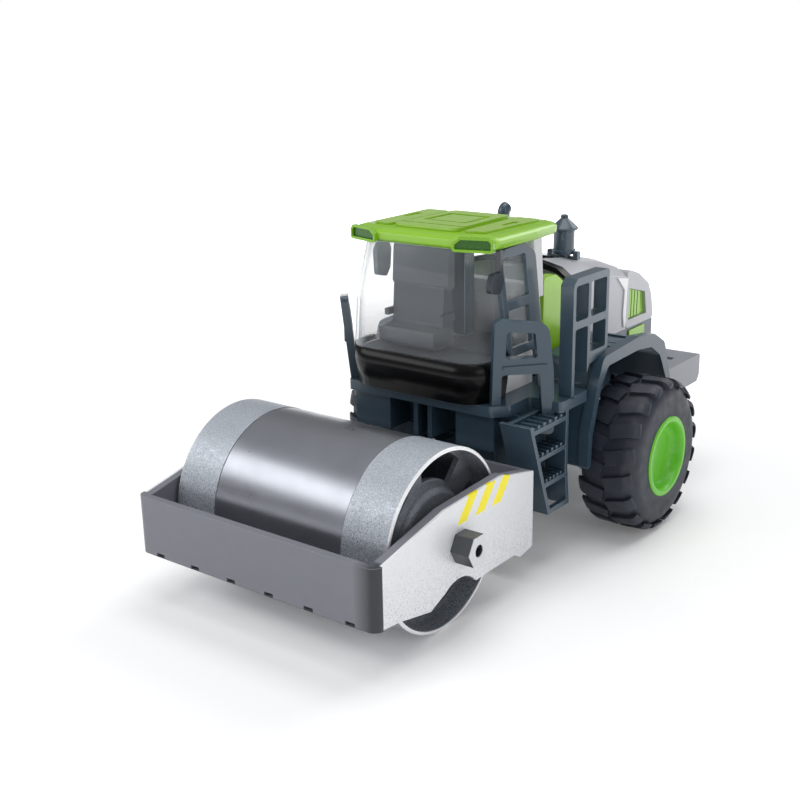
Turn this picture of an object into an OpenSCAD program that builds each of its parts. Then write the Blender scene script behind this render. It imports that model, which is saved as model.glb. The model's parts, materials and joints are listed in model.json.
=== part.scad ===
// Toy single-drum road roller, 200 mm long.
// +X is the vehicle's left, -Y its front, +Z up; the origin is on the ground under the middle of its box.

/* [Overall] */
// Length over the drum frame and the counterweight
total_len = 200; // [198:1:202]
// From the drum's axis to the rear axle
wheelbase = 97; // [96:0.5:98]

/* [Drum] */
// Radius of the drum's end bands
drum_r = 26; // [25.6:0.2:26.4]
// Length of the drum
drum_len = 76.6; // [75:0.2:77]
// Length of each textured end band
band_len = 15; // [13:0.5:17]
// Thickness of the drum's skin
drum_skin = 1; // [0.8:0.1:1.3]
// Diameter of the drum's steel axle
drum_axle_d = 4; // [3.6:0.1:4.2]
// Openings in each end of the drum
drum_windows = 5; // [4:1:6]

/* [Drum frame] */
// Half width of the frame over its front corners
frame_half_w = 43.4; // [43.2:0.1:43.8]
// From the drum's axis to the frame's front face
frame_front = 36.6; // [36:0.1:37]
// Wall of the frame moulding
frame_wall = 2.4; // [2:0.1:2.6]
// Thickness of the side plates
plate_t = 0.8; // [0.6:0.1:0.8]
// Distance across the corners of the hexagonal axle bosses
hex_d = 9.6; // [9:0.2:10.4]
// Height of the bosses above the side plates
hex_h = 6.2; // [5.8:0.1:6.4]

/* [Steering] */
// Diameter of the steering pin
pin_d = 4; // [3.6:0.2:4.4]
// Height of the tongue on the drum frame
tongue_h = 7; // [6:0.5:7]

/* [Rear wheels] */
// Radius over the tread bars
wheel_r = 25.1; // [24.8:0.1:25.3]
// Width of a tyre
tyre_w = 20; // [19:0.5:20.5]
// From the middle of the vehicle to the middle of a tyre
wheel_x = 47; // [46.8:0.1:47.2]
// Radius of the hub in the tyre
hub_r = 12.2; // [11.6:0.2:12.6]
// Tread bars in each of a tyre's two rows
tread_bars = 18; // [16:1:20]
// Diameter of the rear axle
axle_d = 3; // [2.8:0.1:3.2]

/* [Body] */
// Half width of the body under the hood
body_half_w = 22.4; // [21.6:0.2:22.4]
// Half width over the fenders and the platform
side_half_w = 44; // [43.5:0.5:44.5]
// Height of the platform
deck_z = 51.5; // [51:0.25:52]
// Thickness of the platform
deck_t = 3.4; // [3:0.2:3.6]
// Treads in each ladder
ladder_treads = 3; // [2:1:3]

/* [Cab] */
// Height of the seam between the nose panel and the glass
seam_z = 64; // [63.5:0.25:64.5]
// Height of the roof's underside
roof_z = 97; // [96.5:0.25:97.5]
// Thickness of the clear shell
glass_t = 1; // [0.8:0.1:1.2]

/* [Hood] */
// Height of the hood's front edge
hood_z = 84; // [83:0.5:84.5]
// Louvres in each side grille
louvres = 4; // [3:1:5]

/* [Hidden] */

$fn = 64;
round_fn = 96;
clear = 0.08;
eps = 0.01;

slate = [0.27, 0.36, 0.41];
frame_grey = [0.50, 0.51, 0.54];
silver = [0.85, 0.86, 0.88];
dark_grey = [0.24, 0.26, 0.27];
light_grey = [0.69, 0.69, 0.72];
lime = [0.56, 0.79, 0.16];
black = [0.05, 0.05, 0.06];
steel = [0.72, 0.73, 0.75];

front_y = -total_len / 2;
rear_y = total_len / 2;
drum_y = front_y + frame_front;
wheel_y = drum_y + wheelbase;
drum_half = drum_len / 2;
sleeve_half = drum_half - band_len;
plate_x = frame_half_w - 0.2;
wall_x = plate_x - plate_t;
frame_inner_x = wall_x - frame_wall;
frame_rear = 37.2;
frame_rear_y = drum_y + frame_rear;
boss_end_x = plate_x + hex_h;
spigot_r = 3;
axle_end_x = boss_end_x - 2.9;

pin_y = frame_rear_y + 8.2;
tongue_z = 23.2;
tongue_r = 5.5;
lug_r = 5;
lug_h = 4;
lug_gap = 0.4;
lug_low_z = tongue_z - lug_gap - lug_h;
lug_high_z = tongue_z + tongue_h + lug_gap;
pin_head_r = 3.2;
pin_head_h = 1.1;

tub_half_w = 20;
tub_wall = 2;
tub_front_y = pin_y + 7;
tub_rear_y = 84;
tub_z0 = lug_low_z;
tub_z1 = 36;
base_t = 2;
axle_tube_r = 4.4;
hub_in_x = wheel_x - tyre_w / 2 - 0.2;
hub_out_x = wheel_x + tyre_w / 2 + 0.1;

cheek_y = -21.4;
cheek_x0 = 12.6;
cheek_x1 = 25.4;
skirt_z = 36.4;
deck_rear_y = 11;
platform_y = -9;
body_front_y = deck_rear_y;
body_rear_y = 91;
body_z1 = 55;

cab_front_y = -28.2;
cab_rear_y = 8.6;
cab_low_half_w = 26;
cab_high_half_w = 22;
cab_top_front_y = -24.4;
cab_top_rear_y = 6.4;
cab_mid_half_w = 24.9;
cab_mid_front_y = -27.6;
nose_low_half_w = 25;
nose_t = 1.6;
floor_z1 = seam_z - 1;

hood_half_w = body_half_w;
hood_front_y = 32;
hood_wall = 1.6;
hood_z0 = body_z1;

// Points of an arc about [x, y], from angle a0 to a1
function arc(x, y, r, a0, a1, n = 8) =
  [for (i = [0 : n]) let (a = a0 + (a1 - a0) * i / n) [x + r * cos(a), y + r * sin(a)]];

// Unit vector from p to q
function toward(p, q) = (q - p) / norm(q - p);

// Points that round corner q of the path p-q-s with radius r
function corner(p, q, s, r, n = 5) =
  let (
    u = toward(q, p),
    v = toward(q, s),
    half = acos(max(-1, min(1, u * v))) / 2,
    cut = min(r / tan(half), norm(p - q) * 0.49, norm(s - q) * 0.49),
    centre = q + toward([0, 0], u + v) * cut / cos(half),
    a = q + u * cut - centre,
    b = q + v * cut - centre,
    a0 = atan2(a[1], a[0]),
    turn = atan2(a[0] * b[1] - a[1] * b[0], a * b)
  )
  [for (i = [0 : n]) centre + norm(a) * [cos(a0 + turn * i / n), sin(a0 + turn * i / n)]];

// A closed outline with every corner rounded
function rounded(points, r) =
  let (n = len(points))
  [for (i = [0 : n - 1]) each corner(points[(i + n - 1) % n], points[i], points[(i + 1) % n], r)];

// A rounded rectangle about the origin's X, from y0 to y1, with its own front and rear radii
function cab_outline(half_w, y0, y1, front_r, rear_r) = concat(
  arc(-half_w + front_r, y0 + front_r, front_r, 180, 270),
  arc(half_w - front_r, y0 + front_r, front_r, 270, 360),
  arc(half_w - rear_r, y1 - rear_r, rear_r, 0, 90),
  arc(-half_w + rear_r, y1 - rear_r, rear_r, 90, 180)
);

module flip(side) {
  mirror([side < 0 ? 1 : 0, 0, 0]) children();
}

// A [y, z] outline extruded along X from x0 to x1
module slab_x(x0, x1) {
  translate([x0, 0, 0]) rotate([90, 0, 90]) linear_extrude(x1 - x0) children();
}

// A round bar along X
module bar_x(x0, x1, r) {
  translate([x0, 0, 0]) rotate([0, 90, 0]) cylinder(h = x1 - x0, r = r);
}

// A [radius, x] profile turned about the X axis
module turned_x() {
  rotate([0, 90, 0]) rotate_extrude($fn = round_fn) children();
}

module box(low, high) {
  translate(low) cube(high - low);
}

module at_drum() {
  translate([0, drum_y, drum_r]) children();
}

module at_wheel() {
  translate([0, wheel_y, wheel_r]) children();
}

// ---- Drum frame ----

// The frame's side outline, from the drum's axis; y_front is its front edge
function side_outline(y_front) = concat(
  [[y_front, -10.6], [y_front, 6.8], [-33, 6.8], [-7, 12.4]],
  arc(19.8, 5.5, 8, 90, 62, 4),
  [[frame_rear, 9.7], [frame_rear, -13.8], [30.4, -14.9], [27.4, -13.2], [17.4, -13.1]],
  arc(-0.6, -20.2, 10.8, 40, 125, 8),
  [[-13.5, -14], [-26.5, -11.3]]
);

module frame_ring() {
  corner_r = 2.8;
  depth = frame_rear + frame_front;
  difference() {
    union() {
      translate([-frame_half_w, -frame_front + corner_r]) square([frame_half_w * 2, depth - corner_r]);
      translate([-frame_half_w + corner_r, -frame_front]) square([(frame_half_w - corner_r) * 2, depth]);
      for (s = [-1, 1]) translate([s * (frame_half_w - corner_r), -frame_front + corner_r]) circle(corner_r);
    }
    translate([-frame_inner_x, -frame_front + frame_wall])
      square([frame_inner_x * 2, depth - frame_wall * 2]);
    for (s = [0, 1]) mirror([s, 0])
      translate([wall_x, -frame_front + corner_r + 0.2]) square([frame_wall, depth]);
  }
}

module drum_frame() {
  notches = 6;
  notch_pitch = 14;
  notch = [3.2, 6, 1.1];
  color(frame_grey) difference() {
    union() {
      at_drum() intersection() {
        translate([0, 0, -drum_r]) linear_extrude(drum_r * 2) frame_ring();
        slab_x(-frame_half_w - 1, frame_half_w + 1) polygon(side_outline(-frame_front - 1));
      }
      translate([-tongue_r, frame_rear_y - frame_wall, tongue_z])
        cube([tongue_r * 2, pin_y - frame_rear_y + frame_wall, tongue_h]);
      translate([0, pin_y, tongue_z]) cylinder(h = tongue_h, r = tongue_r);
    }
    for (i = [0 : notches - 1])
      translate([(i - (notches - 1) / 2) * notch_pitch - notch[0] / 2, front_y - 1, drum_r - 10.6 - eps])
        cube(notch);
    translate([0, pin_y, tongue_z - 1]) cylinder(h = tongue_h + 2, r = pin_d / 2 + clear);
    at_drum() bar_x(-frame_half_w - 1, frame_half_w + 1, spigot_r + clear);
  }
}

module side_plate(side) {
  color(silver) flip(side) at_drum() difference() {
    slab_x(wall_x, plate_x) polygon(side_outline(-frame_front + 3.1));
    bar_x(wall_x - 1, plate_x + 1, spigot_r + clear);
  }
}

module hex_boss(side) {
  recess_r = 1.7;
  recess = 1.6;
  screw_hole_r = 1.1;
  color(dark_grey) flip(side) at_drum() difference() {
    union() {
      translate([plate_x, 0, 0]) rotate([0, 90, 0]) rotate([0, 0, 90])
        cylinder(h = hex_h, d = hex_d, $fn = 6);
      bar_x(frame_inner_x, plate_x + eps, spigot_r);
    }
    bar_x(frame_inner_x - 1, axle_end_x + 0.1, drum_axle_d / 2 + 0.02);
    bar_x(axle_end_x, boss_end_x + 1, screw_hole_r);
    bar_x(boss_end_x - recess, boss_end_x + 1, recess_r);
  }
}

module drum_axle() {
  pilot_r = 0.85;
  pilot_depth = 7;
  color(steel) at_drum() difference() {
    bar_x(-axle_end_x, axle_end_x, drum_axle_d / 2);
    for (s = [-1, 1]) flip(s) bar_x(axle_end_x - pilot_depth, axle_end_x + 1, pilot_r);
  }
}

module axle_screws() {
  head_r = 1.6;
  head_x = boss_end_x - 1.6;
  head_h = 0.9;
  shank_r = 0.95;
  shank_len = 7.5;
  slot = 0.5;
  color(steel) for (s = [-1, 1]) flip(s) at_drum() difference() {
    union() {
      bar_x(head_x, head_x + head_h, head_r);
      bar_x(head_x - shank_len, head_x + eps, shank_r);
    }
    for (a = [0, 90]) rotate([a, 0, 0])
      translate([head_x + head_h - slot, -head_r * 0.7, -slot / 2]) cube([slot * 2, head_r * 1.4, slot]);
  }
}

// ---- Drum ----

module drum_sleeve() {
  spigot_gap = 0.05;
  inner_r = drum_r - drum_skin - 0.6 + spigot_gap;
  outer_r = drum_r - 0.12;
  half = sleeve_half - spigot_gap;
  color(dark_grey) at_drum() turned_x()
    translate([inner_r, -half]) square([outer_r - inner_r, half * 2]);
}

// A window between radii r0 and r1, width degrees wide
module drum_window(r0, r1, width) {
  depth = 8;
  outer = arc(0, 0, r1, -width / 2, width / 2);
  inner = arc(0, 0, r0, width / 2, -width / 2);
  linear_extrude(depth) polygon(concat(outer, inner));
}

module drum_end(side) {
  web_x = drum_half - 8;
  web_t = 1.6;
  hub_r0 = 14.5;
  hub_x = drum_half - 3;
  spigot_len = 4;
  skin_r = drum_r - drum_skin;
  window_w = 360 / drum_windows - 24;
  color(silver) flip(side) at_drum() difference() {
    turned_x() polygon([
      [drum_axle_d / 2 + clear, web_x - 6], [6, web_x - 6], [6, web_x], [skin_r - 1.4, web_x],
      [skin_r - 1.4, sleeve_half - spigot_len], [skin_r - 0.6, sleeve_half - spigot_len],
      [skin_r - 0.6, sleeve_half], [drum_r, sleeve_half], [drum_r, drum_half - 0.3],
      [drum_r - 0.3, drum_half], [skin_r, drum_half], [skin_r, web_x + web_t],
      [hub_r0 + 0.8, web_x + web_t], [hub_r0, web_x + web_t + 1], [hub_r0 - 0.6, hub_x - 1.2],
      [hub_r0 - 2.2, hub_x], [4.5, hub_x], [4, hub_x + 1.2], [drum_axle_d / 2 + clear, hub_x + 1.2]
    ]);
    for (i = [0 : drum_windows - 1]) rotate([i * 360 / drum_windows + 18, 0, 0]) rotate([0, 90, 0])
      translate([0, 0, web_x - 3]) drum_window(hub_r0 + 1.4, skin_r - 1.4 - eps, window_w);
  }
}

// ---- Rear wheels ----

module rear_axle() {
  color(steel) at_wheel() bar_x(-hub_out_x + 4.4, hub_out_x - 4.4, axle_d / 2);
}

module hub(side) {
  wall = 1.4;
  web_x = hub_out_x - 4.2;
  web_t = 1.4;
  boss_r = 3.6;
  press = 0.03;
  rim_r = hub_r + 0.9;
  bore_r = axle_d / 2 - press;
  color(lime) flip(side) at_wheel() turned_x() polygon([
    [bore_r, hub_in_x], [boss_r, hub_in_x], [boss_r, web_x - web_t], [hub_r - wall, web_x - web_t],
    [hub_r - wall, hub_in_x], [hub_r, hub_in_x], [hub_r, hub_out_x - 0.8], [rim_r, hub_out_x - 0.8],
    [rim_r, hub_out_x + 0.1], [rim_r - 0.5, hub_out_x + 0.5], [hub_r - 0.6, hub_out_x + 0.5],
    [hub_r - 1.1, hub_out_x], [hub_r - wall - 0.5, web_x + 1.6], [hub_r - wall - 1.6, web_x + 0.4],
    [boss_r + 2, web_x], [0, web_x], [0, web_x - web_t], [bore_r, web_x - web_t]
  ]);
}

function tyre_profile() =
  let (h = tyre_w / 2, bead = hub_r + 0.95)
  concat(
    [[hub_r, -h], [bead, -h]],
    arc(wheel_r - 6.6, -h + 5.4, 5.4, -90, -8, 6),
    arc(wheel_r - 6.6, h - 5.4, 5.4, 8, 90, 6),
    [[bead, h], [bead, h - 0.9], [hub_r, h - 0.9]]
  );

module tread_bar() {
  bar_w = 4.6;
  bar_len = tyre_w / 2 - 0.6;
  skew = 14;
  base_r = wheel_r - 2.6;
  rotate([0, 0, skew]) translate([0.4, -bar_w / 2, base_r]) cube([bar_len, bar_w, wheel_r - base_r]);
}

module tyre(side) {
  step = 360 / tread_bars;
  color([0.22, 0.25, 0.29]) flip(side) at_wheel() translate([wheel_x, 0, 0]) difference() {
    intersection() {
      union() {
        turned_x() polygon(tyre_profile());
        for (i = [0 : tread_bars - 1]) {
          rotate([i * step, 0, 0]) tread_bar();
          rotate([(i + 0.5) * step, 0, 0]) mirror([1, 0, 0]) tread_bar();
        }
      }
      turned_x() polygon(concat(
        [[hub_r - 1, -tyre_w / 2]],
        arc(wheel_r - 4, -tyre_w / 2 + 3.8, 3.9, -90, -14, 4),
        arc(wheel_r - 62, 0, 62, -4, 4, 6),
        arc(wheel_r - 4, tyre_w / 2 - 3.8, 3.9, 14, 90, 4),
        [[hub_r - 1, tyre_w / 2]]
      ));
    }
    bar_x(-tyre_w, tyre_w, hub_r);
  }
}

// ---- Chassis ----

screw_spots = [[13.6, tub_front_y + 7], [13.6, tub_rear_y - 7]];

module steering_lug(z) {
  translate([-lug_r, pin_y, z]) cube([lug_r * 2, tub_front_y - pin_y + tub_wall / 2, lug_h]);
  translate([0, pin_y, z]) cylinder(h = lug_h, r = lug_r);
}

module chassis() {
  boss_r = 3;
  pilot_r = 0.9;
  press = 0.02;
  inner_x = tub_half_w - tub_wall;
  color(slate) difference() {
    union() {
      difference() {
        box([-inner_x, tub_front_y, tub_z0], [inner_x, tub_rear_y, tub_z1]);
        box([-inner_x - 1, tub_front_y + tub_wall, tub_z0 - 1],
            [inner_x + 1, tub_rear_y - tub_wall, tub_z1 - tub_wall]);
      }
      for (s = [-1, 1]) flip(s) for (p = screw_spots)
        translate([p[0], p[1], tub_z0]) cylinder(h = tub_z1 - tub_z0 - 1, r = boss_r);
      for (z = [lug_low_z, lug_high_z]) steering_lug(z);
    }
    translate([0, pin_y, tub_z0 - 3]) cylinder(h = 20, r = pin_d / 2 - press);
    for (s = [-1, 1]) flip(s)
      for (p = screw_spots) translate([p[0], p[1], tub_z0 - 1]) cylinder(h = 9, r = pilot_r);
  }
}

// A side wall of the chassis with the tube that carries the rear axle
module chassis_side(side) {
  inner_x = tub_half_w - tub_wall;
  color(slate) flip(side) difference() {
    union() {
      box([inner_x, tub_front_y, tub_z0], [tub_half_w, tub_rear_y, tub_z1]);
      at_wheel() bar_x(inner_x, hub_in_x - 0.6, axle_tube_r);
    }
    at_wheel() bar_x(inner_x - 1, side_half_w, axle_d / 2 + clear);
  }
}

module base_plate() {
  sink_r = 2.2;
  hole_r = 1.2;
  ribs = 4;
  rib_pitch = 16;
  color(slate) difference() {
    union() {
      box([-tub_half_w, tub_front_y, tub_z0 - base_t], [tub_half_w, tub_rear_y, tub_z0]);
      for (i = [0 : ribs - 1])
        translate([-tub_half_w + 4, tub_front_y + 14 + i * rib_pitch, tub_z0 - base_t - 0.8])
          cube([tub_half_w * 2 - 8, 1.6, 1]);
    }
    for (s = [-1, 1]) flip(s) for (p = screw_spots) translate([p[0], p[1], tub_z0 - base_t - 1]) {
      cylinder(h = base_t + 2, r = hole_r);
      cylinder(h = 2, r = sink_r);
    }
  }
}

module chassis_screws() {
  head_r = 2;
  head_h = 0.9;
  shank_r = 1;
  shank_len = 7.6;
  head_z = tub_z0 - base_t + 1 - head_h;
  color(steel) for (s = [-1, 1]) flip(s) for (p = screw_spots) translate([p[0], p[1], head_z]) difference() {
    union() {
      cylinder(h = head_h, r = head_r);
      cylinder(h = shank_len, r = shank_r);
    }
    for (a = [0, 90]) rotate([0, 0, a]) translate([-1.4, -0.25, -eps]) cube([2.8, 0.5, 0.5]);
  }
}

module steering_pin() {
  color(steel) translate([0, pin_y, 0]) {
    translate([0, 0, lug_low_z - 0.6]) cylinder(h = lug_high_z + lug_h - lug_low_z + 0.6, r = pin_d / 2);
    translate([0, 0, lug_high_z + lug_h]) cylinder(h = pin_head_h, r = pin_head_r);
  }
}

// ---- Platform, body, fenders and rails ----

module deck() {
  wall = 2;
  recess_y = -11;
  rib_t = 1.6;
  deck_z0 = deck_z - deck_t;
  half_w = 26.8;
  plan = [
    [-half_w, -24.4], [half_w, -24.4], [31, -20], [31, platform_y], [ladder_x1, platform_y],
    [ladder_x1, 7.5], [30, 7.5], [30, deck_rear_y], [-30, deck_rear_y], [-30, -6]
  ];
  color(slate) {
    translate([0, 0, deck_z0]) linear_extrude(deck_t) polygon(rounded(plan, 1.2));
    difference() {
      box([-cheek_x1, cheek_y, skirt_z], [cheek_x1, deck_rear_y, deck_z0 + eps]);
      box([-cheek_x0, cheek_y - 1, skirt_z - 1], [cheek_x0, recess_y, deck_z0]);
      for (s = [-1, 1]) flip(s)
        box([cheek_x0 + wall, cheek_y + wall, skirt_z - 1], [cheek_x1 - wall, deck_rear_y - wall, deck_z0]);
    }
    for (x = [-3.4, 2]) box([x, cheek_y, skirt_z], [x + rib_t, recess_y + eps, deck_z0 + eps]);
    translate([-cheek_x1 - 1, cheek_y, skirt_z]) cube([1.01, 3, deck_z0 - skirt_z + eps]);
    translate([cheek_x1 - eps, cheek_y, skirt_z]) cube([1.01, 3, deck_z0 - skirt_z + eps]);
  }
}

module body_shell() {
  wall = 2;
  plinth_y = 60;
  plinth_z = 42;
  color(slate) difference() {
    box([-body_half_w, body_front_y, tub_z1], [body_half_w, body_rear_y, body_z1]);
    box([-body_half_w + wall, body_front_y + wall, tub_z1 - 1],
        [body_half_w - wall, body_rear_y - wall, body_z1 - wall]);
    box([-body_half_w - 1, plinth_y, tub_z1 - 1], [body_half_w + 1, body_rear_y + 1, plinth_z]);
  }
}

// The wheel arch's outline from the wheel's centre, [y, z]: the outside, then back along the inside
arch_out = [
  [-29.2, 1.4], [-28.8, 13], [-24.2, 27], [-20.4, 35.6],
  [3.4, 37.2], [14.4, 35.8], [22.4, 31.4], [28.9, 15.4]
];
arch_in = [
  [26.3, 15.4], [19.2, 27.6], [12.6, 31.6], [3, 32.8],
  [-17.4, 32.2], [-21.4, 26.4], [-26.2, 12], [-26.8, 1.4]
];

module fender(side) {
  lip_x = side_half_w - 3.4;
  notch_x = 33;
  landing_notch = [[-40, -5], [-15, -5], [-15, 27.2], [-40, 27.2]];
  ribs = 6;
  rib = [12, 1.2, 1.7];
  rib_y = -14;
  rib_pitch = 4.6;
  drop = 2.2;
  front_inset = 0.6;
  deck_top = 34.4;
  arch_deck = [
    for (p = arch_out) [p[0] + (p[0] < -20 ? front_inset : 0), p[1] - (p[1] > 30 ? drop : 0)]
  ];
  color(slate) flip(side) at_wheel() {
    slab_x(lip_x, side_half_w) polygon(rounded(concat(arch_out, arch_in), 3));
    difference() {
      slab_x(body_half_w + 0.02, lip_x + eps) polygon(rounded(concat(arch_deck, arch_in), 2.4));
      slab_x(body_half_w - 1, notch_x) polygon(landing_notch);
    }
    for (i = [0 : ribs - 1])
      translate([body_half_w + 3.4, rib_y + i * rib_pitch, deck_top - rib[2] + 0.5]) cube(rib);
  }
}

ladder_x0 = 31.4;
ladder_x1 = 42;
ladder_top = [-25.4, 45.6];
ladder_foot = [-15.2, 17.8];
ladder_rear_y = -5.8;

// The ladder's front edge at height z
function ladder_front(z) =
  let (slope = (ladder_top[0] - ladder_foot[0]) / (ladder_top[1] - ladder_foot[1]))
  ladder_foot[0] + slope * (z - ladder_foot[1]);

module tread(z) {
  tread_x = 35.4;
  thick = 1.2;
  ridges = 6;
  ridge_h = 0.8;
  y0 = ladder_front(z) + 0.6;
  pitch = (ladder_rear_y - y0) / ridges;
  box([tread_x, y0, z - thick], [ladder_x1, ladder_rear_y + 1, z]);
  for (i = [0 : ridges - 1])
    box([tread_x, y0 + (i + 0.3) * pitch, z - eps], [ladder_x1 - 0.7, y0 + (i + 0.7) * pitch, z + ridge_h]);
}

module ladder() {
  stile = 1.5;
  pitch = 9.1;
  top_z = deck_z - deck_t;
  top_tread_z = 46.6;
  foot_z = ladder_foot[1];
  front_top_y = ladder_front(top_z);
  color(slate) {
    slab_x(ladder_x0, ladder_x1) polygon([
      [front_top_y, top_z], ladder_foot, [ladder_foot[0] + stile, foot_z], [front_top_y + stile, top_z]
    ]);
    slab_x(ladder_x0 + 3, ladder_x1) polygon([
      [ladder_rear_y, top_z], [ladder_rear_y, 30], [ladder_rear_y + 1.4, foot_z],
      [ladder_rear_y + 1.4 + stile, foot_z], [ladder_rear_y + stile, 30], [ladder_rear_y + stile, top_z]
    ]);
    slab_x(ladder_x0 + 2, ladder_x0 + 3.4) polygon([
      [front_top_y, top_z], [ladder_foot[0], foot_z],
      [ladder_rear_y + 2, foot_z], [ladder_rear_y + stile, top_z]
    ]);
    box([ladder_x1 - 1.6, ladder_foot[0] + 0.4, foot_z], [ladder_x1, ladder_rear_y + 2, foot_z + 1.6]);
    for (i = [0 : ladder_treads - 1]) tread(top_tread_z - i * pitch);
  }
}

// Each hand rail at the front stands on a diagonal, from its inner post out and back, and leans outward
rail_top = [27.9, -24.2, 77];
rail_turn = 49.5;
rail_lean = 6;

module front_rail(side) {
  thick = 2.6;
  outer = [
    [0, -28.4], [0, -0.4], [1, 1], [15.4, -1.2], [16.6, -3],
    [18.6, -15.5], [19.9, -36.6], [13, -35.4], [4, -29.4]
  ];
  upper = [[3.6, -11], [3.7, -2.8], [12.4, -3.6], [13.5, -11.4]];
  lower = [[2.8, -26.4], [2.7, -16], [14.4, -16.3], [16.2, -33], [13, -32.4]];
  ridge = 0.5;
  color(slate) flip(side) translate(rail_top) rotate([0, 0, rail_turn]) rotate([90 + rail_lean, 0, 0])
    translate([0, 0, -thick / 2]) {
      linear_extrude(thick) difference() {
        polygon(rounded(outer, 1.6));
        polygon(rounded(upper, 0.9));
        polygon(rounded(lower, 0.9));
      }
      translate([3, -14.2, thick - eps]) cube([13.4, 0.9, ridge]);
    }
}

module side_rail() {
  x0 = 37.6;
  x1 = 42;
  front = -3.1;
  rear = 18.8;
  post = 1.6;
  mid = 6;
  top = 87.4;
  bar = 2.3;
  cross_z0 = 72;
  cross_z1 = 74.4;
  outer = [
    [front, deck_z - 0.5], [front, top - 2], [front + 2.4, top], [rear, top], [rear, 61.6],
    [mid + post, 59.6], [mid, 57], [front + post, deck_z - 0.5]
  ];
  function pane(y0, y1, z0, z1) = rounded([[y0, z0], [y0, z1], [y1, z1], [y1, z0]], 0.9);
  color(slate) difference() {
    slab_x(x0, x1) polygon(rounded(outer, 1));
    slab_x(x0 - 1, x1 + 1) {
      polygon(pane(front + post, mid, cross_z1, top - bar));
      polygon(pane(mid + post, rear - post, cross_z1, top - bar));
      polygon(pane(mid + post, rear - post, 63.4, cross_z0));
      polygon(pane(front + post, mid, 50, cross_z0));
    }
  }
}

module counterweight() {
  half_w = 38;
  z0 = 31.4;
  z1 = 41.6;
  y0 = 63.4;
  chamfer = 1.8;
  slot = [5, 3, 1.4];
  core_half_w = 21.8;
  side = [
    [y0, z0 + 2], [y0, z1], [rear_y, z1], [rear_y, z0 + 2.4], [rear_y - chamfer, z0], [y0 + 12, z0]
  ];
  color(light_grey) difference() {
    union() {
      slab_x(-half_w, half_w) polygon(rounded(side, 0.8));
      box([-core_half_w, tub_rear_y + 0.02, 22], [core_half_w, rear_y - 4, z0 + 1]);
    }
    box([-tub_half_w - 2, y0 - 1, z0 - 2], [tub_half_w + 2, tub_rear_y + 0.02, z1 + 1]);
    for (s = [-1, 1]) flip(s) translate([28, 86, z1 - slot[2]]) cube([slot[0], slot[1], slot[2] + 1]);
  }
}

// ---- Cab ----

module cab_floor() {
  inset = nose_t + 0.05;
  sill = 1.2;
  sill_half_w = 20;
  console_h = 4.4;
  sill_front_y = -12;
  color(dark_grey) {
    translate([0, 0, deck_z]) linear_extrude(floor_z1 - deck_z)
      polygon(cab_outline(nose_low_half_w - inset, cab_front_y + 1 + inset, cab_rear_y - 2, 8, 2));
    translate([0, 0, floor_z1 - eps]) linear_extrude(sill)
      polygon(cab_outline(sill_half_w, sill_front_y, cab_rear_y - glass_t - 0.2, 2, 2));
    box([-22.5, -14, floor_z1 - eps], [-16.2, 5, floor_z1 + console_h]);
  }
}

// A thin level slice of the nose panel at height z
module nose_slice(z, half_w, y0, front_r, inset) {
  translate([0, 0, z]) linear_extrude(0.1)
    polygon(cab_outline(half_w - inset, y0 + inset, 5, front_r - inset, 1));
}

module nose_skin(inset) {
  bulge_z = deck_z + 8;
  bulge = 0.3;
  hull() {
    nose_slice(deck_z, nose_low_half_w, cab_front_y + 1, 9, inset);
    nose_slice(bulge_z, cab_low_half_w + 0.1, cab_front_y - bulge, 10, inset);
    nose_slice(seam_z - 0.1, cab_low_half_w, cab_front_y, 10, inset);
  }
}

module nose_panel() {
  wrap_y = -13;
  color(black) difference() {
    nose_skin(0);
    for (lift = [-eps, 0.2]) translate([0, 0, lift]) nose_skin(nose_t);
    box([-40, wrap_y, deck_z - 1], [40, 20, seam_z + 1]);
  }
}

module glass_slice(z, half_w, y0, y1, front_r, inset) {
  translate([0, 0, z]) linear_extrude(0.1)
    polygon(cab_outline(half_w - inset, y0 + inset, y1 - inset, front_r - inset, 2.5));
}

module glass_skin(inset, grow) {
  mid_z = seam_z + 16;
  hull() {
    glass_slice(seam_z - grow, cab_low_half_w, cab_front_y, cab_rear_y, 10, inset);
    glass_slice(mid_z, cab_mid_half_w, cab_mid_front_y, cab_rear_y - 0.8, 9.4, inset);
    glass_slice(roof_z - 0.1 + grow, cab_high_half_w, cab_top_front_y, cab_top_rear_y, 8, inset);
  }
}

module cab_glass() {
  color([0.75, 0.85, 0.9, 0.35]) difference() {
    glass_skin(0, 0);
    glass_skin(glass_t, 0.2);
  }
}

module door_left() {
  foot_x = cab_low_half_w + 0.06;
  lean = 6.6;
  thick = 1.5;
  top = 32.2;
  foot = -12.5;
  outer = [
    [-16.6, 0.4], [-17.4, 28], [-14, top], [-1.6, top + 0.4], [3, 29], [3, foot], [-0.6, foot], [-0.6, 0.4]
  ];
  upper = [[-14.8, 16.8], [-15.2, 29.8], [-2.6, 29.6], [-2.4, 17.2]];
  lower = [[-14.4, 3], [-14.6, 14.2], [-3, 14.2], [-2.8, 3]];
  color(slate) translate([foot_x, 0, seam_z]) rotate([0, -lean, 0])
    translate([0.9, 0, 0]) slab_x(0, thick) difference() {
      polygon(rounded(outer, 2.6));
      polygon(rounded(upper, 0.8));
      polygon(rounded(lower, 0.8));
    }
}

module cab_rear_frame() {
  half_w = 22;
  foot_half_w = 20;
  sill_z = 77.4;
  post = 3;
  top_z = roof_z - 0.02;
  side = [[cab_rear_y + 0.2, sill_z], [cab_rear_y + 0.2, 82], [7, top_z], [11.8, top_z], [13.4, sill_z]];
  color(light_grey) difference() {
    union() {
      slab_x(-half_w, half_w) polygon(side);
      box([-foot_half_w, cab_rear_y + 0.4, deck_z], [foot_half_w, deck_rear_y - 0.1, sill_z + eps]);
    }
    box([-half_w + post, 5, sill_z + 4], [half_w - post, 15, roof_z - 3]);
  }
}

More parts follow.
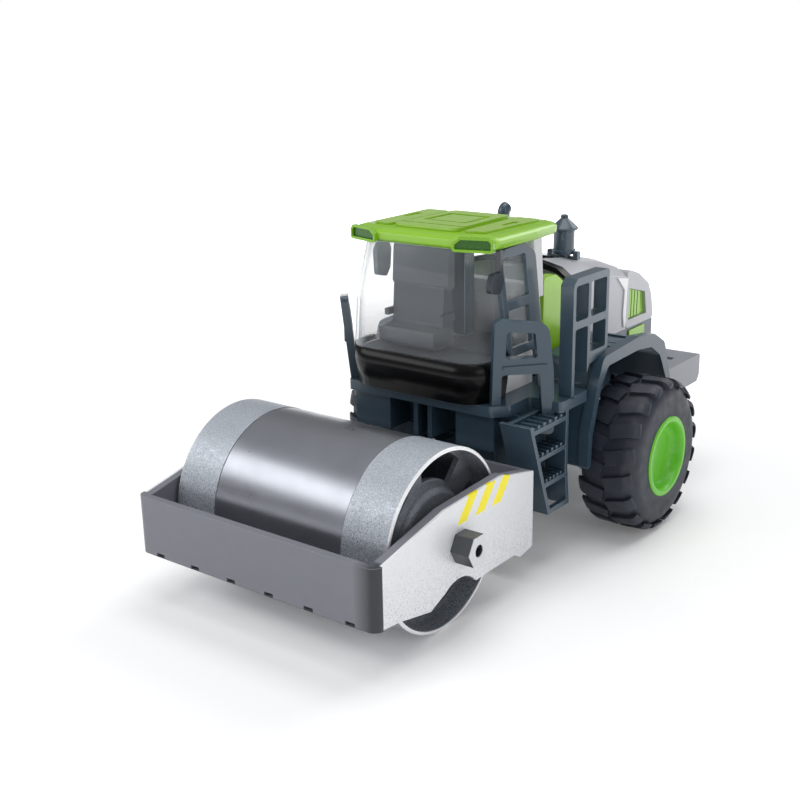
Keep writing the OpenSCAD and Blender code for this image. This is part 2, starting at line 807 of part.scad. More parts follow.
// The upright column behind the seat
module cab_column() {
  color(slate) box([-12, -1, floor_z1 + 1.2], [2, 4.4, roof_z - 0.45]);
}

module seat() {
  mid_x = -5.5;
  half_w = 9.6;
  front = -21;
  base_z = floor_z1 + 1.2;
  back_y = -15;
  head_h = 30.4;
  color(dark_grey) translate([mid_x, 0, 0]) {
    slab_x(-half_w, half_w) polygon(rounded([
      [front, base_z], [front, base_z + 5.4], [back_y - 1, base_z + 6.4], [back_y, base_z + 19],
      [back_y + 4, base_z + 19], [back_y + 5, base_z]
    ], 1.2));
    slab_x(-half_w - 1, half_w + 1) polygon(rounded([
      [back_y + 0.4, base_z + 18], [back_y + 1.4, base_z + head_h], [back_y + 4.4, base_z + head_h],
      [back_y + 3.8, base_z + 18]
    ], 1.1));
    for (s = [-1, 1]) flip(s)
      box([half_w - eps, front + 3, base_z + 8.4], [half_w + 1.6, back_y + 3.4, base_z + 10.4]);
  }
}

// ---- Roof and mirrors ----

roof_outline = [
  [-14, -24.2], [14, -24.2], [26.2, -21], [26.4, 2], [25.2, 17.6], [-25.2, 17.6], [-26.4, 2], [-26.2, -21]
];
roof_top_z = roof_z + 4;
roof_slice_h = 0.2;

// A level slice of the roof at height z above its underside, smaller by inset all round
module roof_slice(z, height, inset) {
  translate([0, 0, roof_z + z]) linear_extrude(height)
    offset(delta = -inset) polygon(rounded(roof_outline, 4));
}

module roof() {
  rim_low = 0.9;
  rim_h = 1.7;
  crown_z = 3.4;
  socket = 0.4;
  gap = glass_t + 0.3;
  color(lime) {
    hull() {
      roof_slice(0, roof_slice_h, 0.7);
      roof_slice(rim_low, rim_h, 0);
      roof_slice(crown_z - roof_slice_h, roof_slice_h, 1);
      roof_slice(roof_top_z - roof_z - roof_slice_h, roof_slice_h, 3.2);
    }
    translate([0, 0, roof_z - socket]) linear_extrude(socket + 0.1)
      polygon(cab_outline(cab_high_half_w - gap, cab_top_front_y + gap, cab_top_rear_y - gap, 6.4, 2));
  }
}

// The raised panels on the roof: a hatch between two long side panels
module roof_panel() {
  raise = 1;
  side_raise = 0.6;
  groove = 0.45;
  hatch = [[-11.6, -19.4], [11.6, -19.4], [10.6, 11.6], [-10.6, 11.6]];
  hatch_well = [[-8.2, -9], [8.2, -9], [7.8, 5.4], [-7.8, 5.4]];
  hatch_lid = [[-6.6, -7.6], [6.6, -7.6], [6.2, 4], [-6.2, 4]];
  side = [[13.6, -19], [20.4, -17.6], [21.4, 12], [12.8, 12]];
  slot = [[17.2, -4.4], [19.4, -4.4], [19.4, 3.6], [17.2, 3.6]];
  color(lime) translate([0, 0, roof_top_z]) {
    difference() {
      linear_extrude(raise) polygon(rounded(hatch, 1.8));
      translate([0, 0, raise - groove]) linear_extrude(1) polygon(rounded(hatch_well, 1));
      translate([-20, -15.4, raise - groove]) cube([40, 0.9, 1]);
    }
    translate([0, 0, eps]) linear_extrude(raise - 0.1) polygon(rounded(hatch_lid, 0.8));
    for (s = [-1, 1]) flip(s) difference() {
      linear_extrude(side_raise) polygon(rounded(side, 1.4));
      translate([0, 0, side_raise - groove]) linear_extrude(1) polygon(rounded(slot, 0.8));
    }
  }
}

module roof_lamp(side) {
  inner = [14, -25.5];
  turn = 15.6;
  width = 12.8;
  depth = 3;
  height = 4.4;
  lens = 0.7;
  glass_gap = 0.4;
  face = [
    [0, 0], [width, 0], [width, height - 1.4], [width - 1.2, height], [2.6, height], [0.2, height - 1.8]
  ];
  color([0.2, 0.42, 0.04]) flip(side) difference() {
    translate([inner[0], inner[1], roof_z - 0.6]) rotate([0, 0, turn]) rotate([90, 0, 0])
      translate([0, 0, -depth]) difference() {
        linear_extrude(depth) polygon(rounded(face, 1));
        translate([0, 0, depth - lens]) linear_extrude(lens + 1)
          offset(delta = -0.8) polygon(rounded(face, 1));
      }
    translate([0, 0, -0.02]) roof_slice(0, height + 2, -0.03);
    translate([0, 0, roof_z - 5]) linear_extrude(5) polygon(cab_outline(
      cab_high_half_w + glass_gap, cab_top_front_y - glass_gap, cab_top_rear_y + glass_gap, 8, 2.5
    ));
  }
}

// The left and the right mirror: where each hangs along Y, its foot, its top, and its arm's place on it
mirror_y = [-20.6, -6.7];
mirror_foot = [84.2, 81.8];
mirror_top = [90.6, 93.2];
mirror_arm_y = [1.6, -1.6];

module mirror_plate(side) {
  x0 = 25.2;
  thick = 1.8;
  arm = [1.8, 1.4];
  arm_z = 89;
  i = side > 0 ? 0 : 1;
  foot = mirror_foot[i];
  top = mirror_top[i];
  pane = [
    [-3.4, foot + 1], [-3.8, top - 2.4], [-2, top], [2.4, top], [3.6, top - 2.4], [3, foot + 2.6], [1, foot]
  ];
  color(slate) flip(side) translate([x0, mirror_y[i], 0]) {
    slab_x(0, thick) polygon(rounded(pane, 1.2));
    translate([-0.2, mirror_arm_y[i], arm_z]) cube([arm[0], arm[1], roof_z - arm_z - 0.02]);
  }
}

// ---- Hood ----

// The hood's crown height at y
hood_line = [[hood_front_y, hood_z], [48, hood_z - 2], [64, hood_z - 4.6], [70, hood_z - 6]];

// A thin upright slice across the hood at y, with sloping shoulders and a flat crown
module hood_slice(y, top, foot, half_w, inset) {
  shoulder = 4.4;
  shoulder_z = top - 1.2 - inset;
  crown_half_w = 9;
  crown_z = top + 0.8 - inset;
  translate([0, y, 0]) rotate([90, 0, 0]) linear_extrude(0.1) polygon([
    [-half_w + inset, foot], [-half_w + inset, top - shoulder], [-half_w + shoulder, shoulder_z],
    [-crown_half_w, crown_z], [crown_half_w, crown_z],
    [half_w - shoulder, shoulder_z], [half_w - inset, top - shoulder], [half_w - inset, foot]
  ]);
}

// The hood's skin as one hull for each stretch of its crown line
module hood_skin(inset, foot) {
  last = len(hood_line) - 2;
  for (i = [0 : last]) {
    y0 = hood_line[i][0] + 0.1 + (i == 0 ? inset : 0);
    y1 = hood_line[i + 1][0] - (i == last ? inset : 0);
    hull() {
      hood_slice(y0, hood_line[i][1], foot, hood_half_w, inset);
      hood_slice(y1, hood_line[i + 1][1], foot, hood_half_w, inset);
    }
  }
}

// The tail's side outline, [y, z]
tail_outline = [
  [70, hood_z0], [70, 76.4], [79, 73.6], [87, 68.6], [89.6, 64], [91.6, 55]
];
grille_cut = [[71.6, 57.8], [71.8, 69.4], [84.2, 66], [85.8, 57.8]];

module hood() {
  deep = 1.4;
  color(light_grey) {
    difference() {
      hood_skin(0, hood_z0);
      translate([0, 0, -eps]) hood_skin(hood_wall, hood_z0 - 1);
      box([-9, 34.5, hood_z - 3], [9, 45.5, hood_z + 3]);
    }
    difference() {
      slab_x(-hood_half_w, hood_half_w) polygon(rounded(tail_outline, 1.6));
      slab_x(-hood_half_w + hood_wall + deep, hood_half_w - hood_wall - deep) polygon([
        [69, hood_z0 - 1], [69, 74.6], [78.4, 71.6], [85.6, 67], [88, 63], [89.6, hood_z0 - 1]
      ]);
      for (s = [-1, 1]) flip(s) slab_x(hood_half_w - deep, hood_half_w + 1) polygon(grille_cut);
    }
  }
}

module hood_side(side) {
  x0 = 18;
  x1 = 21.4;
  color(lime) flip(side) slab_x(x0, x1) polygon(rounded([
    [14.6, body_z1 + 0.02], [14.6, 82.6], [22, 82.6], [hood_front_y - 3.6, 78.6], [hood_front_y - 0.4, 77],
    [hood_front_y - 0.4, body_z1 + 0.02]
  ], 1.2));
}

module hood_trim() {
  y0 = 28.6;
  y1 = hood_front_y - 0.06;
  color(black) difference() {
    hull() {
      hood_slice(y0 + 0.1, hood_z + 0.3, 78, hood_half_w - 0.4, 0);
      hood_slice(y1, hood_z + 0.3, 76, hood_half_w, 0);
    }
    hull() {
      hood_slice(y0 - 1, hood_z + 0.3, 70, hood_half_w - 0.4, 1.8);
      hood_slice(y1 + 1, hood_z + 0.3, 70, hood_half_w, 1.8);
    }
    box([-30, y0 - 2, 60], [30, y1 + 2, 78.6]);
  }
}

module hood_mesh() {
  bars = 5;
  bar_w = 0.8;
  x0 = 8.9;
  pitch = 2 * x0 / (bars + 1);
  y0 = 34.6;
  y1 = 45.4;
  z0 = hood_z - 2.2;
  color(black) {
    difference() {
      box([-x0, y0, z0], [x0, y1, z0 + 1.6]);
      box([-x0 + 1.2, y0 + 1.2, z0 + 0.9], [x0 - 1.2, y1 - 1.2, z0 + 3]);
    }
    for (i = [1 : bars]) translate([-x0 + i * pitch, y0 + 1, z0 + 0.5])
      translate([-bar_w / 2, 0, 0]) cube([bar_w, y1 - y0 - 2, 1.1]);
  }
}

module grille(side) {
  x1 = hood_half_w - 0.4;
  x0 = hood_half_w - 1.38;
  back_x = x0 + 0.3;
  slat = 1.6;
  pitch = 9.2 / louvres;
  slat_y = 72.2;
  low_x = hood_half_w + 0.02;
  low_t = 0.5;
  color(lime) flip(side) {
    slab_x(x0, back_x) polygon([[71.66, 57.86], [71.86, 69.3], [84.1, 65.9], [85.7, 57.86]]);
    intersection() {
      for (i = [0 : louvres - 1]) slab_x(back_x - eps, x1) translate([slat_y + i * pitch, 0])
        polygon([[0, 58.4], [0.4, 70], [0.4 + slat, 70], [slat, 58.4]]);
      slab_x(x0, x1) polygon([[71.8, 58.2], [71.9, 69], [84, 65.7], [85.2, 58.2]]);
    }
    slab_x(low_x, low_x + low_t) polygon(rounded([[72, 49], [72, 54], [83.6, 54.2], [84, 49]], 0.6));
  }
}

module hood_strip(side) {
  x0 = hood_half_w;
  x1 = hood_half_w + 0.5;
  color("white") flip(side) slab_x(x0, x1) polygon([
    [61.8, 74.8], [69.8, 73.2], [69.2, 69], [68.8, 57.6], [67.6, 56], [66.6, 61], [67.4, 69.4]
  ]);
}

// ---- Air cleaner and exhaust ----

air_x = 8;
air_y = 50;
air_z = 81.6;

module air_cleaner() {
  body_r = 3.6;
  body_h = 8;
  neck_r = 2.4;
  neck_h = 2.2;
  clip_x = 5;
  color(slate) translate([air_x, air_y, air_z]) {
    cylinder(h = neck_h + eps, r = neck_r);
    translate([0, 0, neck_h]) cylinder(h = body_h, r = body_r);
    translate([0, 0, neck_h + 0.6]) cylinder(h = 0.8, r = body_r + 0.35);
    for (s = [-1, 1]) box([s * clip_x - 0.9, -1, 0.4], [s * clip_x + 0.9, 1, 3.2]);
    box([-clip_x, -0.6, 0.4], [clip_x, 0.6, 1.4]);
  }
}

module air_cleaner_cap() {
  rim_r = 4.7;
  color(slate) translate([air_x, air_y, air_z + 10.2]) {
    rotate_extrude() polygon([
      [0, 0.02], [rim_r - 0.6, 0.02], [rim_r, 0.3], [rim_r, 0.9], [1.3, 4], [1.3, 4.8], [1, 5.2], [0, 5.2]
    ]);
    translate([-0.25, -1.6, 3.6]) cube([0.5, 3.2, 1.4]);
  }
}

module exhaust() {
  pipe_r = 2.2;
  bore_r = 1.5;
  foot = [-15.1, 47.9, 80.2];
  rise = 15.3;
  bend = 2.4;
  color(slate) translate(foot) {
    difference() {
      union() {
        cylinder(h = rise, r = pipe_r);
        cylinder(h = 1.8, r = pipe_r + 1);
        translate([0, bend, rise]) rotate([90, 0, -90]) rotate_extrude(angle = 70)
          translate([bend, 0]) circle(pipe_r);
      }
      translate([0, 0, rise - 5]) cylinder(h = 5 + eps, r = bore_r);
      translate([0, bend, rise]) rotate([90, 0, -90]) rotate_extrude(angle = 71)
        translate([bend, 0]) circle(bore_r);
    }
  }
}

drum_frame();
side_plate(1);  // side_plate_left
side_plate(-1);  // side_plate_right
hex_boss(1);  // hex_boss_left
hex_boss(-1);  // hex_boss_right
drum_axle();
axle_screws();
drum_sleeve();
drum_end(1);  // drum_end_left
drum_end(-1);  // drum_end_right
rear_axle();
hub(1);  // hub_left
hub(-1);  // hub_right
tyre(1);  // tyre_left
tyre(-1);  // tyre_right
chassis();
chassis_side(1);  // chassis_side_left
chassis_side(-1);  // chassis_side_right
base_plate();
chassis_screws();
steering_pin();
deck();
body_shell();
fender(1);  // fender_left
fender(-1);  // fender_right
ladder();
front_rail(1);  // front_rail_left
front_rail(-1);  // front_rail_right
side_rail();
counterweight();
cab_floor();
nose_panel();
cab_glass();
door_left();
cab_rear_frame();
cab_column();
seat();
roof();
roof_panel();
roof_lamp(1);  // roof_lamp_left
roof_lamp(-1);  // roof_lamp_right
mirror_plate(1);  // mirror_left
mirror_plate(-1);  // mirror_right
hood();
hood_side(1);  // hood_side_left
hood_side(-1);  // hood_side_right
hood_trim();
hood_mesh();
grille(1);  // grille_left
grille(-1);  // grille_right
hood_strip(1);  // hood_strip_left
hood_strip(-1);  // hood_strip_right
air_cleaner();
air_cleaner_cap();
exhaust();
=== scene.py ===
import json
import math

import bmesh
import bpy
from mathutils import Matrix, Vector


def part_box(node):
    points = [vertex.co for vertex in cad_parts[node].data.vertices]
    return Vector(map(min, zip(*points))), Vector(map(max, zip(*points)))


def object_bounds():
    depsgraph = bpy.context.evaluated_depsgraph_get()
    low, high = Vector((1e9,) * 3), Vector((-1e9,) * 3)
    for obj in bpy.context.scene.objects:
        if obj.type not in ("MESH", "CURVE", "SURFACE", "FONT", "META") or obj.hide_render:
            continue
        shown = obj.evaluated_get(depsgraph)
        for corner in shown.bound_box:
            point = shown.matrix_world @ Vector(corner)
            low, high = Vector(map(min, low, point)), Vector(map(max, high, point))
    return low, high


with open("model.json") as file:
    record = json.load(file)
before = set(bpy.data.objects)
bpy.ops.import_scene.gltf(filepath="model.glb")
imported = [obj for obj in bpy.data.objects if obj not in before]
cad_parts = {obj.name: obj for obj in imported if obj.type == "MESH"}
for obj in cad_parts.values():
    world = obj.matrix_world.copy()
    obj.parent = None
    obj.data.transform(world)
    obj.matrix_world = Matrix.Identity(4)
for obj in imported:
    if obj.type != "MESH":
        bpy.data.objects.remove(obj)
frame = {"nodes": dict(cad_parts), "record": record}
cad_low, cad_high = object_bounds()
nodes = frame["nodes"]
MM = 0.001


# ---------------------------------------------------------------- camera, light and floor

# The place is in metres, the angles in degrees, and the lens and sensor in millimetres
CAMERA_PLACE = (0.2085, -0.3020, 0.1575)
CAMERA_AZIMUTH = 37.74
CAMERA_ELEVATION = 17.34
CAMERA_ROLL = -1.06
CAMERA_LENS = 53.26
SENSOR_WIDTH = 36

# The studio's colour or brightness at each height: 0 is straight down, 0.5 the horizon and 1 straight up
STUDIO_LOW = (0.40, (0.30, 0.30, 0.31, 1))
STUDIO_HIGH = (1.0, (0.50, 0.51, 0.53, 1))
STUDIO_BANDS = ((0.455, 1.0), (0.53, 1.0), (0.57, 0.20), (0.70, 0.24), (0.84, 0.42))
STUDIO_BLUE = 1.02

# The floor's own glow is weak under the toy, where the shadow falls, and strong far out.
# Each pair is a distance in metres and the strength of the glow there.
GLOW_NEAR = (0.13, 0.10)
GLOW_FAR = (0.55, 1.0)
FLOOR_HALF = 3
FLOOR_GAP = 0.05 * MM


def make_camera():
    azimuth = math.radians(CAMERA_AZIMUTH)
    elevation = math.radians(CAMERA_ELEVATION)
    roll = math.radians(CAMERA_ROLL)
    level = math.cos(elevation)
    back = Vector((math.sin(azimuth) * level, -math.cos(azimuth) * level, math.sin(elevation)))
    right = Vector((math.cos(azimuth), math.sin(azimuth), 0))
    up = back.cross(right)
    x_axis = math.cos(roll) * right + math.sin(roll) * up
    y_axis = -math.sin(roll) * right + math.cos(roll) * up
    data = bpy.data.cameras.new("camera")
    data.sensor_width = SENSOR_WIDTH
    data.lens = CAMERA_LENS
    data.clip_start, data.clip_end = 0.01, 20
    cam = bpy.data.objects.new("camera", data)
    bpy.context.scene.collection.objects.link(cam)
    turn = Matrix((x_axis, y_axis, back)).transposed().to_4x4()
    cam.matrix_world = Matrix.Translation(CAMERA_PLACE) @ turn
    bpy.context.scene.camera = cam


def area_light(name, place, aim, size, power, size_y=None):
    data = bpy.data.lights.new(name, "AREA")
    data.shape = "RECTANGLE"
    data.size = size
    data.size_y = size_y or size
    data.energy = power
    lamp = bpy.data.objects.new(name, data)
    bpy.context.scene.collection.objects.link(lamp)
    lamp.location = place
    lamp.rotation_euler = (Vector(aim) - Vector(place)).to_track_quat("-Z", "Y").to_euler()


def make_world():
    world = bpy.data.worlds.new("studio")
    bpy.context.scene.world = world
    world.use_nodes = True
    tree = world.node_tree
    tree.nodes.clear()
    coords = tree.nodes.new("ShaderNodeTexCoord")
    split = tree.nodes.new("ShaderNodeSeparateXYZ")
    ramp = tree.nodes.new("ShaderNodeValToRGB")
    stops = ramp.color_ramp.elements
    stops[0].position, stops[0].color = STUDIO_LOW
    stops[1].position, stops[1].color = STUDIO_HIGH
    for place, tone in STUDIO_BANDS:
        stop = stops.new(place)
        stop.color = (tone, tone, tone * STUDIO_BLUE, 1)
    shift = tree.nodes.new("ShaderNodeMapRange")
    shift.inputs["From Min"].default_value = -1
    shift.inputs["From Max"].default_value = 1
    shade = tree.nodes.new("ShaderNodeBackground")
    shade.inputs["Strength"].default_value = 1.0
    out = tree.nodes.new("ShaderNodeOutputWorld")
    tree.links.new(coords.outputs["Generated"], split.inputs[0])
    tree.links.new(split.outputs["Z"], shift.inputs["Value"])
    tree.links.new(shift.outputs[0], ramp.inputs[0])
    tree.links.new(ramp.outputs[0], shade.inputs["Color"])
    tree.links.new(shade.outputs[0], out.inputs["Surface"])


def floor_look():
    """Matt white with a glow that grows away from the toy."""
    pale = bpy.data.materials.new("floor_pale")
    pale.use_nodes = True
    tree = pale.node_tree
    shader = tree.nodes["Principled BSDF"]
    shader.inputs["Base Color"].default_value = (0.93, 0.93, 0.93, 1)
    shader.inputs["Roughness"].default_value = 0.9
    shader.inputs["Specular IOR Level"].default_value = 0.0
    shader.inputs["Emission Color"].default_value = (1, 1, 1, 1)
    coords = tree.nodes.new("ShaderNodeTexCoord")
    reach = tree.nodes.new("ShaderNodeVectorMath")
    reach.operation = "LENGTH"
    glow = tree.nodes.new("ShaderNodeMapRange")
    glow.interpolation_type = "SMOOTHSTEP"
    glow.inputs["From Min"].default_value, glow.inputs["To Min"].default_value = GLOW_NEAR
    glow.inputs["From Max"].default_value, glow.inputs["To Max"].default_value = GLOW_FAR
    tree.links.new(coords.outputs["Object"], reach.inputs[0])
    tree.links.new(reach.outputs["Value"], glow.inputs["Value"])
    tree.links.new(glow.outputs[0], shader.inputs["Emission Strength"])
    return pale


def make_floor():
    mesh = bpy.data.meshes.new("floor")
    work = bmesh.new()
    bmesh.ops.create_grid(work, x_segments=8, y_segments=8, size=FLOOR_HALF)
    work.to_mesh(mesh)
    work.free()
    floor = bpy.data.objects.new("floor", mesh)
    bpy.context.scene.collection.objects.link(floor)
    floor.location.z = cad_low.z - FLOOR_GAP
    mesh.materials.append(floor_look())


bpy.context.scene.view_settings.view_transform = "Standard"
bpy.context.scene.view_settings.look = "None"
make_camera()
make_world()
make_floor()
area_light("key", (-0.66, -0.60, 0.60), (0, -0.02, 0.03), 0.75, 2.8, size_y=0.34)
area_light("fill", (0.95, -0.35, 0.60), (0, 0, 0.04), 0.50, 1.3)
area_light("back", (0.15, 0.85, 0.75), (0, 0, 0.05), 0.60, 3.0)
area_light("top", (0.0, 0.05, 1.3), (0, 0, 0), 0.9, 7.0)


# ---------------------------------------------------------------- how a material is made

# The sockets of a colour Mix node, which share their names with its other kinds
MIX_A, MIX_B, MIX_OUT = 6, 7, 2

# Where a noise's values mostly lie
NOISE_LOW, NOISE_HIGH = 0.3, 0.7

# Noise scales shared by the plastics, in waves per metre
COLOUR_SCALE = 240
GLOSS_SCALE = 900
PLASTIC_GRAIN_SCALE = 1300

# Painted highlights on rounded edges, and painted shade where an edge colour is darker, by the name of the
# look that they go with
PAINTED_EDGE_LIGHT_LOOKS = {}


def linear(r, g, b):
    """A display colour, 0 to 255, as the linear colour that a shader takes."""
    out = []
    for v in (r, g, b):
        c = v / 255
        out.append(c / 12.92 if c <= 0.04045 else ((c + 0.055) / 1.055) ** 2.4)
    return tuple(out) + (1.0,)


def scaled(colour, factor):
    return tuple(min(1.0, c * factor) for c in colour[:3]) + (1.0,)


class Look:
    """A Principled material with object-space noise for its colour, roughness and bump."""

    def __init__(self, name, colour, roughness, metallic=0.0, coat=0.0, coat_roughness=0.1, specular=0.5):
        self.mat = bpy.data.materials.new(name)
        self.mat.use_nodes = True
        self.tree = self.mat.node_tree
        self.shader = self.tree.nodes["Principled BSDF"]
        self.shader.inputs["Base Color"].default_value = colour
        self.shader.inputs["Roughness"].default_value = roughness
        self.shader.inputs["Metallic"].default_value = metallic
        self.shader.inputs["Coat Weight"].default_value = coat
        self.shader.inputs["Coat Roughness"].default_value = coat_roughness
        self.shader.inputs["Specular IOR Level"].default_value = specular
        self.colour = colour
        texture = self.tree.nodes.new("ShaderNodeTexCoord")
        self.coords = texture.outputs["Object"]
        self.normals = texture.outputs["Normal"]
        self.colour_out = None

    def link(self, a, b):
        self.tree.links.new(a, b)

    def split(self, vector=None):
        """The X, Y and Z of a vector, or of the place on the object."""
        n = self.tree.nodes.new("ShaderNodeSeparateXYZ")
        self.link(vector or self.coords, n.inputs[0])
        return n.outputs["X"], n.outputs["Y"], n.outputs["Z"]

    def noise(self, scale, detail=3.0, rough=0.55, coords=None):
        n = self.tree.nodes.new("ShaderNodeTexNoise")
        n.inputs["Scale"].default_value = scale
        n.inputs["Detail"].default_value = detail
        n.inputs["Roughness"].default_value = rough
        self.link(coords or self.coords, n.inputs["Vector"])
        return n.outputs["Fac"]

    def remap(self, value, a, b, c, d):
        """A value from a to b as one from c to d, held at both ends."""
        n = self.tree.nodes.new("ShaderNodeMapRange")
        n.clamp = True
        for key, v in zip(("From Min", "From Max", "To Min", "To Max"), (a, b, c, d)):
            n.inputs[key].default_value = v
        self.link(value, n.inputs["Value"])
        return n.outputs[0]

    def mix(self, factor, a, b):
        n = self.tree.nodes.new("ShaderNodeMix")
        n.data_type = "RGBA"
        self.link(factor, n.inputs["Factor"])
        for socket, value in ((n.inputs[MIX_A], a), (n.inputs[MIX_B], b)):
            if isinstance(value, tuple):
                socket.default_value = value
            else:
                self.link(value, socket)
        return n.outputs[MIX_OUT]

    def math(self, operation, a, b=None):
        n = self.tree.nodes.new("ShaderNodeMath")
        n.operation = operation
        for socket, value in zip(n.inputs, (a, b)):
            if value is None:
                continue
            if isinstance(value, (int, float)):
                socket.default_value = value
            else:
                self.link(value, socket)
        return n.outputs[0]

    def vary(self, scale, spread):
        """Makes the colour a little darker and lighter from place to place."""
        factor = self.remap(self.noise(scale), NOISE_LOW, NOISE_HIGH, 0, 1)
        self.colour_out = self.mix(factor, scaled(self.colour, 1 - spread), scaled(self.colour, 1 + spread))
        return self

    def paint(self, mask, colour):
        """Lays a colour over the base wherever the mask is 1."""
        self.colour_out = self.mix(mask, self.colour_out, colour)
        return self

    def rough_noise(self, scale, low, high):
        level = self.remap(self.noise(scale, 4), NOISE_LOW, NOISE_HIGH, low, high)
        self.link(level, self.shader.inputs["Roughness"])
        return self

    def bump(self, height, strength, distance):
        n = self.tree.nodes.new("ShaderNodeBump")
        n.inputs["Strength"].default_value = strength
        n.inputs["Distance"].default_value = distance
        self.link(height, n.inputs["Height"])
        self.link(n.outputs[0], self.shader.inputs["Normal"])
        return self

    def grain(self, scale, strength, distance=0.00006, detail=2):
        return self.bump(self.noise(scale, detail), strength, distance)

    def done(self):
        if self.colour_out is not None:
            self.link(self.colour_out, self.shader.inputs["Base Color"])
        return self.mat


def plastic(name, rgb, roughness, spread=0.02, coat=0.0, edge=None, grain=0.05, specular=0.5):
    """A moulded plastic; with an edge colour, the rounded edges of a piece get a look of their own, a
    painted highlight where the colour is lighter and painted shade where it is darker.
    """
    look = Look(name, linear(*rgb), roughness, coat=coat, specular=specular)
    smooth, dull = roughness * 0.93, roughness * 1.08
    look.vary(COLOUR_SCALE, spread).rough_noise(GLOSS_SCALE, smooth, dull)
    look.grain(PLASTIC_GRAIN_SCALE, grain, 0.00003)
    if edge:
        rounded = Look(name + "_edge", linear(*edge), roughness, coat=coat, specular=specular)
        rounded.vary(COLOUR_SCALE, spread).rough_noise(GLOSS_SCALE, smooth, dull)
        PAINTED_EDGE_LIGHT_LOOKS[name] = rounded.done()
    return look.done()


# ---------------------------------------------------------------- the plain materials

# Each edge colour is painted light on the rounded edges: the lighter ones are painted highlights, the roof
# lime's darker one painted shade
slate = plastic("slate_plastic", (54, 73, 87), 0.30, coat=0.25, edge=(124, 142, 154), grain=0.04)
dark_slate = plastic("dark_slate_plastic", (30, 40, 50), 0.30, coat=0.2, edge=(92, 108, 120), grain=0.04)
lime = plastic("lime_plastic", (138, 192, 34), 0.24, coat=0.3, edge=(176, 216, 84), grain=0.03)
roof_lime = plastic("roof_lime_plastic", (148, 194, 40), 0.24, coat=0.3, edge=(104, 146, 22), grain=0.03)
# The hood sides get a lighter copy of the lime, painted light that makes up for the shade between the cab
# and the hood
painted_light_lime = plastic("painted_light_lime_plastic", (156, 214, 40), 0.24, coat=0.2, edge=(200, 234, 100), grain=0.03)
hub_green = plastic("hub_green_plastic", (104, 194, 44), 0.34, coat=0.1, edge=(172, 234, 96), grain=0.02)
light_grey = plastic("light_grey_paint", (180, 181, 187), 0.32, coat=0.2, edge=(216, 217, 221))
# The counterweight gets a darker copy of the light grey, painted shade that tones down its brightly lit
# faces
painted_shade_grey = plastic("painted_shade_grey_paint", (136, 139, 146), 0.36, coat=0.1, edge=(178, 180, 186))
# The cab's rear frame gets a paler copy of the light grey, painted light that makes up for the shade inside
# the cab
painted_lit_grey = plastic("painted_lit_grey_paint", (222, 223, 227), 0.34, edge=(232, 233, 236))
white_print = plastic("white_print", (240, 240, 242), 0.30, grain=0.04)
black_gloss = plastic("black_gloss_plastic", (8, 8, 9), 0.24, 0.06, grain=0.02, specular=0.18)
seat_grey = plastic("seat_grey_plastic", (60, 68, 78), 0.46, edge=(104, 112, 122), grain=0.0)


def steel_look(name, rgb, low, high):
    look = Look(name, linear(*rgb), 0.28, metallic=1.0)
    look.vary(220, 0.08).rough_noise(500, low, high).grain(2600, 0.08)
    return look.done()


def rubber_look():
    name = "tyre_rubber"
    look = Look(name, linear(38, 44, 55), 0.50)
    look.vary(90, 0.12).rough_noise(300, 0.42, 0.60).grain(1500, 0.20, 0.00010, 3)
    # The lug edges get a lighter colour, a painted highlight
    PAINTED_EDGE_LIGHT_LOOKS[name] = plastic("tyre_rubber_edge", (98, 110, 126), 0.50, 0.04)
    return look.done()


def glass_look():
    """A thin clear skin: nearly invisible face on, paler and shinier where it turns away."""
    look = Look("clear_plastic", linear(214, 220, 226), 0.05, coat=1.0, coat_roughness=0.02, specular=1.0)
    turned = look.tree.nodes.new("ShaderNodeLayerWeight")
    turned.inputs["Blend"].default_value = 0.35
    cover = look.remap(turned.outputs["Facing"], 0.22, 0.96, 0.055, 0.80)
    look.link(cover, look.shader.inputs["Alpha"])
    look.rough_noise(90, 0.02, 0.07)
    return look.done()


# ---------------------------------------------------------------- the drum and its frame

def drum_centre_look():
    """Grey lacquer with faint turning marks round the drum."""
    look = Look("drum_centre_lacquer", linear(150, 153, 160), 0.30, 0.88, coat=0.1, coat_roughness=0.15)
    look.vary(70, 0.03).rough_noise(150, 0.27, 0.33)
    stretch = look.tree.nodes.new("ShaderNodeMapping")
    stretch.inputs["Scale"].default_value = (1.0, 0.04, 0.04)
    look.link(look.coords, stretch.inputs["Vector"])
    marks = look.noise(2600, 2, 0.5, stretch.outputs["Vector"])
    look.bump(marks, 0.10, 0.00004)
    return look.done()


